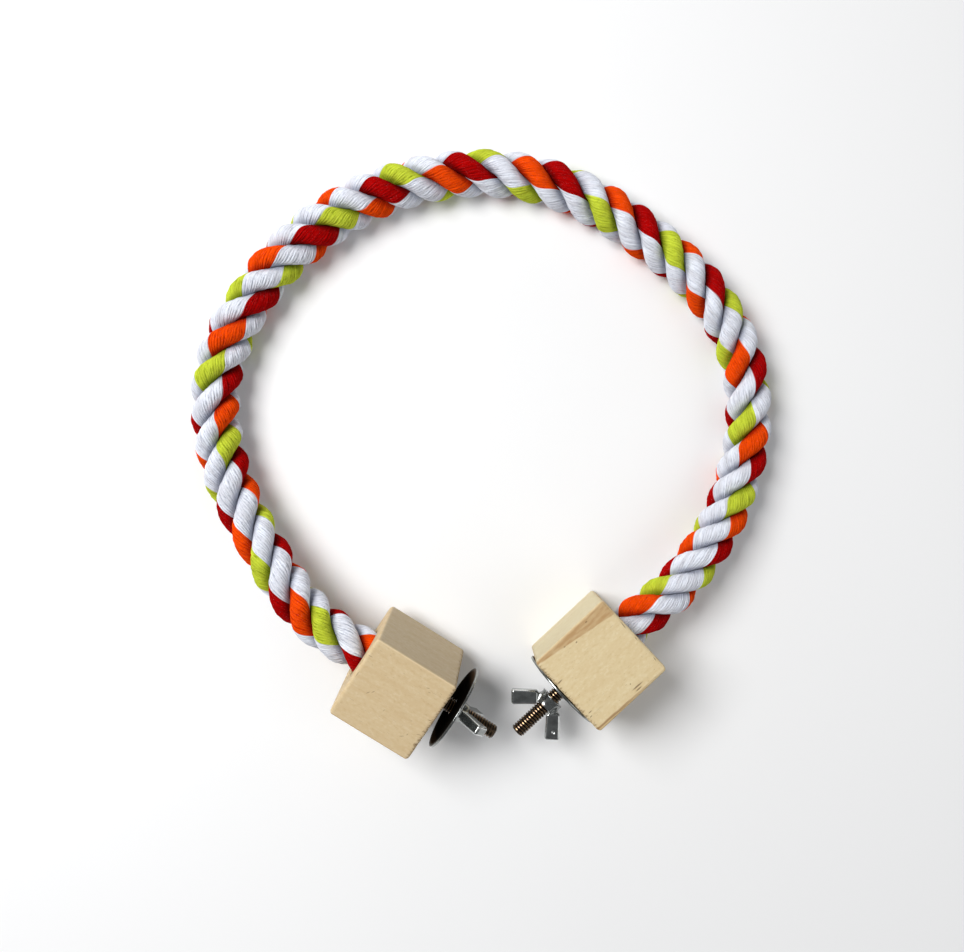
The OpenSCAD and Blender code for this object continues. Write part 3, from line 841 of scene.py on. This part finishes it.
def new_washer(name, middle, axis, back, lean, body, material, seed):
    """A stamped washer in its place, turned from its section, leaning and a little out of flat."""
    rng = np.random.default_rng(seed)
    roll = [(math.sin(a), math.cos(a)) for a in np.linspace(0, math.pi / 2, ROLL_STEPS)]
    section = [(WASHER_HOLE_R, HOLE_ROLL), (WASHER_HOLE_R + HOLE_BREAK, BREAK_H)]
    section += [(r, 0.0) for r in np.linspace(*BACK_FLAT, FLAT_RINGS)]
    section += [(WASHER_R - RIM_BREAK, BREAK_H), (WASHER_R, RIM_BREAK_H)]
    section += [(WASHER_R - DIE_ROLL * (1 - c), WASHER_T - DIE_ROLL * (1 - s)) for s, c in roll]
    section += [(r, WASHER_T) for r in np.linspace(*FRONT_FLAT, FLAT_RINGS)]
    roll.reverse()
    section += [(WASHER_HOLE_R + HOLE_ROLL * (1 - c), WASHER_T - HOLE_ROLL * (1 - s)) for s, c in roll]
    radius, height = np.array(section).T[..., None]
    turn = np.linspace(0, 2 * math.pi, WASHER_COLUMNS, endpoint=False)
    across, up = block_frame(axis, 0.0)[1:]
    ways = np.cos(turn)[:, None] * across + np.sin(turn)[:, None] * up
    bow = TWO_WAY_BOW * np.cos(2 * turn + rng.uniform(0, 6))
    bow += THREE_WAY_BOW * np.cos(3 * turn + rng.uniform(0, 6))
    u = HALF + back + height + (radius / WASHER_R) ** 2 * bow - lean * radius * np.cos(turn)
    points = middle + u[..., None] * axis + radius[..., None] * ways
    quads = tube_faces(len(section) + 1, WASHER_COLUMNS, flip=True) % (len(section) * WASHER_COLUMNS)
    washer = new_piece(name, points.reshape(-1, 3), [quads], material)
    # Painted shade and reflection: the back face, towards the block, is black as the shade in the gap, and
    # turns brown towards two opposite sides of the rim as a painted reflection of the wood.
    back_shade = np.clip((WASHER_R - BACK_SHADE_EDGE - radius) / BACK_SHADE_FADE, 0, 1) * (height < RIM_BREAK_H)
    wood_reflection = np.clip(3 * radius / WASHER_R * np.abs(np.cos(turn)) - 2, 0, 1)
    point_value(washer, "back_shade", "FLOAT", np.repeat(back_shade, WASHER_COLUMNS))
    point_value(washer, "wood_reflection", "FLOAT", wood_reflection)
    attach(washer, body)
    return washer


washer_zinc, shader, principled, colour = zinc_material("washer_zinc", WASHER_BUMP)
shader.set(principled.inputs["Specular IOR Level"], 0.0)
# The back face painted black and not metal as shade, with the brown painted reflection of the wood towards
# its sides.
back_shade = shader.attribute("back_shade")
painted_back = shader.mix(shader.attribute("wood_reflection"), BACK_SHADE_BLACK, WOOD_REFLECTION_BROWN)
shader.set(principled.inputs["Base Color"], shader.mix(back_shade, colour, painted_back))
shader.set(principled.inputs["Metallic"], shader.math("SUBTRACT", 1.0, back_shade))
for side, middle, axis, back, lean, seed in (
    ("left", left_middle, left_axis, LEFT_WASHER_U, 0.0, 5),
    ("right", right_middle, right_axis, RIGHT_WASHER_U, RIGHT_WASHER_LEAN, 6),
):
    washer = new_washer(
        f"{side}_fender_washer", middle, axis, back, lean, f"{side}_washer", washer_zinc, seed
    )
    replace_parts(washer, f"{side}_washer")

# Wing nuts. Forged steel, clear zinc plated: a flared boss with two flat pads on short necks, all
# run together with soft fillets by the dies. Sizes below are in millimetres.
LEFT_NUT_STAND, RIGHT_NUT_STAND = 7.7, 6.2
NUT_STEP = 0.2
NUT_LOW, NUT_HIGH = (-16.7, -6.7, -0.9), (16.7, 6.7, 16.2)
BASE_R, BOSS_R, BOSS_H, BOSS_EDGE_R = 5.6, 4.2, 5.0, 0.4
FLARE_H, FLARE_POWER = 4.6, 1.6
WING_ANGLE = math.radians(44.0)
WING_SPREAD, WING_HEIGHT = 30.0, 14.7
PAD_LEN, PAD_W, PAD_T = 11.6, 6.2, 4.4
PAD_FLARE = 0.06
PAD_X = WING_SPREAD / 2 - PAD_W / 2 * math.cos(WING_ANGLE) - PAD_LEN / 2 * math.sin(WING_ANGLE)
PAD_Z = WING_HEIGHT - PAD_W / 2 * math.sin(WING_ANGLE) - PAD_LEN / 2 * math.cos(WING_ANGLE)
DIMPLE_AT, DIMPLE_R, DIMPLE_DEEP = (2.3, 0.4), 1.3, 0.22
PAD_CORNER_R, PAD_EDGE_R = 1.1, 1.0
NECK_MIDDLE, NECK_WAY = (3.5, 3.9), (0.77, 0.64)
NECK_LEN, NECK_W, NECK_T = 7.4, 4.9, 3.2
NECK_CORNER_R, NECK_EDGE_R = 0.9, 0.7
NECK_FILLET, PAD_FILLET = 1.5, 0.3
NUT_BORE_R = 3.24
BORE_BEVEL, BORE_TOP_BEVEL = 0.5, 0.6
SLOPE_NUDGE, LEAST_SLOPE, SETTLE_PASSES = 0.02, 0.3, 3
PAD_FLATNESS, EDGE_FADE = 0.985, 0.12
SIDE_FADE, SIDE_RUB_HIGHLIGHT, RUB_HIGHLIGHT_BEFORE_PAD = 0.5, 0.15, 0.5
NUT_BUMP = 0.03
RUBBED_HIGHLIT_ZINC = from_srgb(226, 228, 226)


def blend(a, b, soft):
    """Union of two distance fields with a fillet."""
    h = np.clip(0.5 + 0.5 * (b - a) / soft, 0, 1)
    return b * (1 - h) + a * h - soft * h * (1 - h)


def rounded(a, b, r):
    """Two distances met in a round outside edge."""
    a, b = a + r, b + r
    return np.hypot(np.maximum(a, 0), np.maximum(b, 0)) + np.minimum(np.maximum(a, b), 0) - r


def along_pad(x, z):
    """Place on a wing's pad, from its middle: out to the tip, and across."""
    dx, dz = np.abs(x) - PAD_X, z - PAD_Z
    sin_a, cos_a = math.sin(WING_ANGLE), math.cos(WING_ANGLE)
    return dx * sin_a + dz * cos_a, dx * cos_a - dz * sin_a


def nut_field(x, y, z):
    """Distance to the nut's surface, below 0 inside. x is along the wings, z along the bolt."""
    r = np.hypot(x, y)
    flared = BOSS_R + (BASE_R - BOSS_R) * np.clip(1 - z / FLARE_H, 0, 1) ** FLARE_POWER
    body = rounded(r - flared, np.abs(z - BOSS_H / 2) - BOSS_H / 2, BOSS_EDGE_R)
    out, side = along_pad(x, z)
    side = side / (1 + PAD_FLARE * out / (PAD_LEN / 2))
    above_dimple = y - PAD_T / 2 - DIMPLE_R + DIMPLE_DEEP
    deep = np.sqrt((out - DIMPLE_AT[0]) ** 2 + (side - DIMPLE_AT[1]) ** 2 + above_dimple**2)
    pad = rounded(np.abs(out) - PAD_LEN / 2, np.abs(side) - PAD_W / 2, PAD_CORNER_R)
    pad = rounded(pad, np.abs(y) - PAD_T / 2, PAD_EDGE_R)
    dx, dz = np.abs(x) - NECK_MIDDLE[0], z - NECK_MIDDLE[1]
    neck_out = dx * NECK_WAY[0] + dz * NECK_WAY[1]
    neck_side = dx * NECK_WAY[1] - dz * NECK_WAY[0]
    neck = rounded(np.abs(neck_out) - NECK_LEN / 2, np.abs(neck_side) - NECK_W / 2, NECK_CORNER_R)
    neck = rounded(neck, np.abs(y) - NECK_T / 2, NECK_EDGE_R)
    body = blend(body, neck, NECK_FILLET)
    body = blend(body, pad, PAD_FILLET)
    top_bevel = np.clip(z - (BOSS_H - BORE_BEVEL), 0, BORE_TOP_BEVEL)
    bore = r - NUT_BORE_R - top_bevel - np.clip(BORE_BEVEL - z, 0, BORE_BEVEL)
    return np.maximum(np.maximum(body, -bore), np.where(x > 0, DIMPLE_R - deep, -bore))


def nut_slope(points):
    """Which way the nut's surface faces at each point."""
    nudge = SLOPE_NUDGE * np.eye(3)
    rise = [nut_field(*(points + way).T) - nut_field(*(points - way).T) for way in nudge]
    return np.stack(rise, axis=1) / (2 * SLOPE_NUDGE)


def settle(points):
    """Points of the nut's net moved onto the true surface."""
    for _ in range(SETTLE_PASSES):
        slope = nut_slope(points)
        push = nut_field(*points.T) / np.maximum((slope**2).sum(1), LEAST_SLOPE)
        points = points - np.clip(push, -NUT_STEP, NUT_STEP)[:, None] * slope
    return points


def net_surface(field, low, step):
    """Surface where a field sampled on a grid is 0: one point in each cell that it crosses."""
    inside = field < 0
    cells = tuple(n - 1 for n in field.shape)
    total, hits = np.zeros(cells + (3,)), np.zeros(cells)
    corners = [(i, j, k) for i in (0, 1) for j in (0, 1) for k in (0, 1)]

    def at(array, corner):
        return array[tuple(slice(c, c + n) for c, n in zip(corner, cells))]

    for a in corners:
        for axis in range(3):
            if a[axis] == 0:
                b = tuple(c + (k == axis) for k, c in enumerate(a))
                fa, fb = at(field, a), at(field, b)
                cut = at(inside, a) != at(inside, b)
                share = np.where(cut, fa / np.where(cut, fa - fb, 1), 0)
                total += cut[..., None] * np.array(a)
                total[..., axis] += share
                hits += cut
    used = hits > 0
    number = np.full(cells, -1)
    number[used] = np.arange(used.sum())
    points = np.argwhere(used) + total[used] / hits[used][:, None]
    quads = []
    for axis in range(3):
        one, two = (axis + 1) % 3, (axis + 2) % 3
        step_on = [slice(None)] * 3
        step_on[axis] = slice(0, -1)
        step_to = [slice(None)] * 3
        step_to[axis] = slice(1, None)
        a, b = inside[tuple(step_on)], inside[tuple(step_to)]
        where = np.argwhere(a != b)
        where = where[(where[:, one] > 0) & (where[:, two] > 0)]
        where = where[(where[:, one] < cells[one]) & (where[:, two] < cells[two])]
        back_one, back_two = np.eye(3, dtype=int)[one], np.eye(3, dtype=int)[two]
        ring = [where, where - back_one, where - back_one - back_two, where - back_two]
        quad = np.stack([number[tuple(w.T)] for w in ring], axis=1)
        leaving = a[tuple(where.T)]
        quads.append(np.where(leaving[:, None], quad, quad[:, ::-1]))
    return np.array(low) + points * step, np.vstack(quads)


grid = np.meshgrid(*[np.arange(a, b, NUT_STEP) for a, b in zip(NUT_LOW, NUT_HIGH)], indexing="ij")
nut_points, nut_quads = net_surface(nut_field(*grid), NUT_LOW, NUT_STEP)
nut_points = settle(nut_points)
# Paler zinc on the rounded edges of the pads: rubbed wear, and a painted highlight where those edges would
# catch the light.
on_pad = np.clip(along_pad(nut_points[:, 0], nut_points[:, 2])[0] + PAD_LEN / 2 + RUB_HIGHLIGHT_BEFORE_PAD, 0, 1)
flatness = np.abs(unit(nut_slope(nut_points))[:, 1])
off_flat = np.clip((PAD_FLATNESS - flatness) / EDGE_FADE, 0, 1)
nut_rub_highlight = on_pad * off_flat * np.clip(flatness / SIDE_FADE, SIDE_RUB_HIGHLIGHT, 1)
nut_zinc, shader, principled, colour = zinc_material("nut_zinc", NUT_BUMP)
# Rubbed zinc and painted highlight on the pads' edges.
rubbed_highlit = shader.mix(shader.attribute("rub_highlight"), colour, RUBBED_HIGHLIT_ZINC)
shader.set(principled.inputs["Base Color"], rubbed_highlit)
for side, middle, axis, stand, wing_way in (
    ("left", left_middle, left_axis, LEFT_NUT_STAND, 2),
    ("right", right_middle, right_axis, RIGHT_NUT_STAND, 1),
):
    wings = block_frame(axis, 0.0)[wing_way]
    axes = np.stack([wings, np.cross(axis, wings), axis])
    points = middle + (HALF + stand / MM_PER_M) * axis + nut_points / MM_PER_M @ axes
    nut = new_piece(f"{side}_forged_wing_nut", points, [nut_quads], nut_zinc)
    point_value(nut, "rub_highlight", "FLOAT", nut_rub_highlight)
    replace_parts(nut, f"{side}_wing_nut")
    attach(nut, f"{side}_wing_nut")

# Floor and light. A plain pale studio floor, one large soft light high on the left, a weaker one
# opposite it and a long low one behind, which draws the edges of the metal.
FLOOR_HALF = 3.0
floor_mesh = bpy.data.meshes.new("floor")
floor_corners = [(x * FLOOR_HALF, y * FLOOR_HALF, 0.0) for x, y in ((-1, -1), (1, -1), (1, 1), (-1, 1))]
floor_mesh.from_pydata(floor_corners, [], [(0, 1, 2, 3)])
floor = bpy.data.objects.new("floor", floor_mesh)
scene.collection.objects.link(floor)
paper = new_material("pale_paper", Base_Color=(0.9, 0.9, 0.9), Roughness=0.9)[0]
floor_mesh.materials.append(paper)


def soft_light(name, at, size, power):
    """Light of a width and height at a place, aimed at the ring's middle."""
    data = bpy.data.lights.new(name, "AREA")
    data.shape = "RECTANGLE"
    data.size, data.size_y = size
    data.energy = power
    light = bpy.data.objects.new(name, data)
    light.location = at
    light.rotation_mode = "QUATERNION"
    light.rotation_quaternion = (-Vector(at)).to_track_quat("-Z", "Y")
    scene.collection.objects.link(light)


soft_light("window_light", (-0.58, 0.28, 0.95), (0.6, 0.6), 13.6)
soft_light("fill_light", (0.8, -0.4, 0.8), (0.8, 0.8), 2.5)
soft_light("strip_light", (-0.35, 1.1, 0.22), (1.4, 0.25), 2.2)
world = bpy.data.worlds.new("studio")
world.use_nodes = True
sky = world.node_tree.nodes["Background"].inputs
sky["Color"].default_value = (0.95, 0.97, 1.0, 1.0)
sky["Strength"].default_value = 0.2
scene.world = world
scene.view_settings.view_transform = "Standard"
